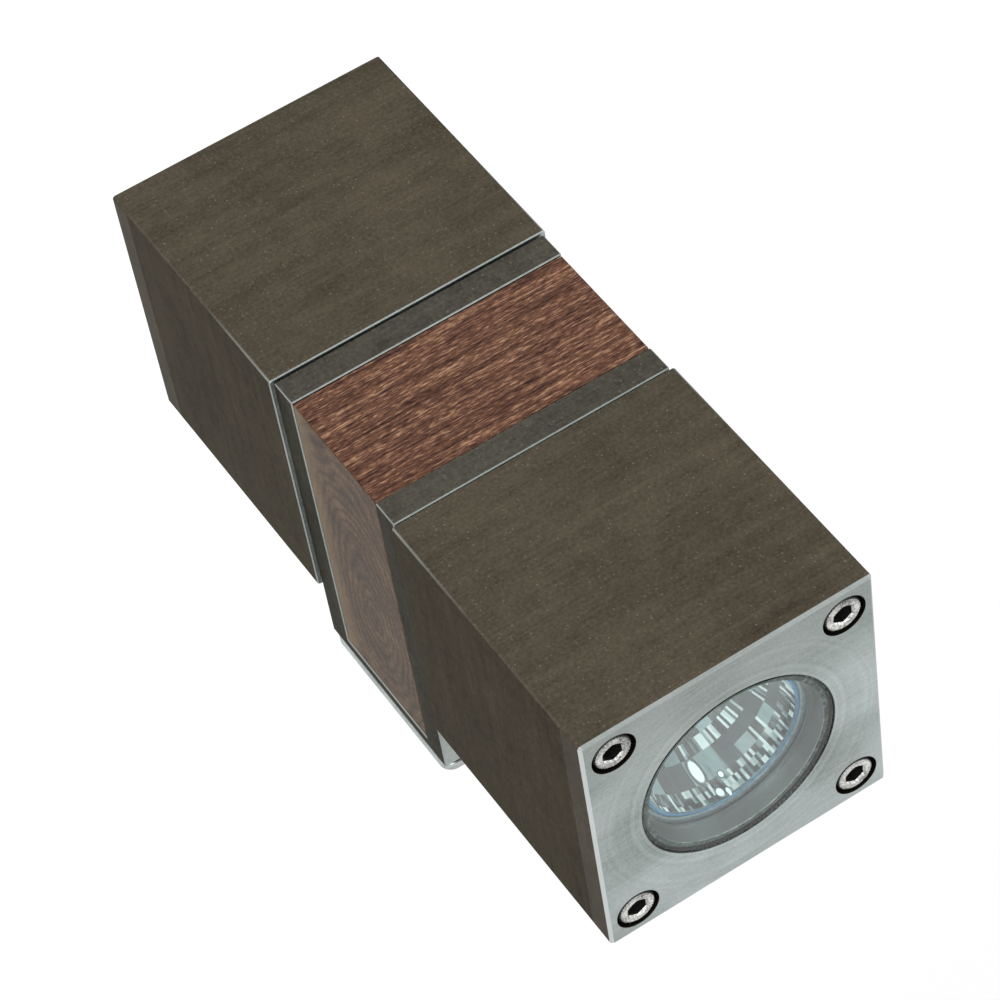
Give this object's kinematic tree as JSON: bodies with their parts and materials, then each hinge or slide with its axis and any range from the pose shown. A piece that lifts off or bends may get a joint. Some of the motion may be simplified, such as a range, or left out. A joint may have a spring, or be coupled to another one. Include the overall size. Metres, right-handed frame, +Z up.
{
  "type": "up and down wall light",
  "caption": "Square-section wall light that shines up and down: two metal lamp housings with glazed end covers, joined by a metal channel with a hardwood insert, on a wall plate.",
  "frame": {"origin": "centre of the wall plate's back face, on the wall", "axes": "+Y into the wall, -Y to the front, +Z up along the light, X across its width"},
  "size_m": [0.08, 0.1016, 0.2162],
  "materials": {
    "housing_metal": "dark olive-brown anodised, brushed across the width",
    "cover_metal": "bright natural anodised, finely brushed",
    "black_rubber": "black silicone rubber, matt",
    "screw_steel": "stainless steel, satin",
    "clear_glass": "clear toughened glass, polished",
    "silicone": "translucent grey-green silicone",
    "reflector": "faceted dichroic coating, pale blue",
    "ceramic": "unglazed steatite, off-white",
    "quartz": "clear quartz",
    "pin_metal": "nickel plated",
    "brass": "plain turned brass",
    "zinc_steel": "zinc plated pressing",
    "lead_cover": "white silicone insulation",
    "wood": "oiled dark hardwood, grain across the width",
    "plate_metal": "stainless steel, satin",
    "terminal_plastic": "off-white polyamide"
  },
  "bodies": {
    "light_body": {"upper_housing": "housing_metal", "upper_cover_gasket": "black_rubber", "upper_lamp_holder": "ceramic", "upper_holder_contacts": "brass", "upper_holder_bracket": "zinc_steel", "upper_holder_screws": "screw_steel", "upper_bracket_screws": "screw_steel", "upper_joint_gasket": "black_rubber", "upper_housing_screws": "screw_steel", "upper_wire_bush": "black_rubber", "upper_leads": "lead_cover", "lower_housing": "housing_metal", "lower_cover_gasket": "black_rubber", "lower_lamp_holder": "ceramic", "lower_holder_contacts": "brass", "lower_holder_bracket": "zinc_steel", "lower_holder_screws": "screw_steel", "lower_bracket_screws": "screw_steel", "lower_joint_gasket": "black_rubber", "lower_housing_screws": "screw_steel", "lower_wire_bush": "black_rubber", "lower_leads": "lead_cover", "centre_channel": "housing_metal", "wood_grub_screws": "screw_steel", "wall_plate": "plate_metal", "plate_gasket": "black_rubber", "plate_studs": "screw_steel", "stud_washers": "screw_steel", "stud_nuts": "screw_steel", "cable_grommet": "black_rubber", "terminal_block": "terminal_plastic", "terminal_inserts": "brass", "clamp_screws": "screw_steel", "terminal_screws": "screw_steel", "earth_screw": "brass", "earth_washer": "brass"},
    "upper_cover_set": {"upper_end_cover": "cover_metal", "upper_cover_screws": "screw_steel", "upper_cover_glass": "clear_glass", "upper_glass_seal": "silicone"},
    "upper_lamp_set": {"upper_lamp_reflector": "reflector", "upper_lamp_cap": "ceramic", "upper_lamp_glass": "clear_glass", "upper_lamp_capsule": "quartz", "upper_lamp_pins": "pin_metal"},
    "lower_cover_set": {"lower_end_cover": "cover_metal", "lower_cover_screws": "screw_steel", "lower_cover_glass": "clear_glass", "lower_glass_seal": "silicone"},
    "lower_lamp_set": {"lower_lamp_reflector": "reflector", "lower_lamp_cap": "ceramic", "lower_lamp_glass": "clear_glass", "lower_lamp_capsule": "quartz", "lower_lamp_pins": "pin_metal"},
    "wood_insert": {"wood_block": "wood"}
  },
  "joints": [
    {"name": "upper_cover_slide", "type": "slide", "parent": "light_body", "child": "upper_cover_set", "axis": [0, 0, 1], "range_m": [0, 0.03]},
    {"name": "lower_cover_slide", "type": "slide", "parent": "light_body", "child": "lower_cover_set", "axis": [0, 0, -1], "range_m": [0, 0.03]},
    {"name": "upper_lamp_twist", "type": "hinge", "parent": "light_body", "child": "upper_lamp_set", "pos_m": [0, -0.0616, 0.05285], "axis": [0, 0, 1], "range_deg": [0, 30]},
    {"name": "lower_lamp_twist", "type": "hinge", "parent": "light_body", "child": "lower_lamp_set", "pos_m": [0, -0.0616, -0.05285], "axis": [0, 0, -1], "range_deg": [0, 30]},
    {"name": "wood_slide", "type": "slide", "parent": "light_body", "child": "wood_insert", "axis": [0, -1, 0], "range_m": [0, 0.095]}
  ]
}
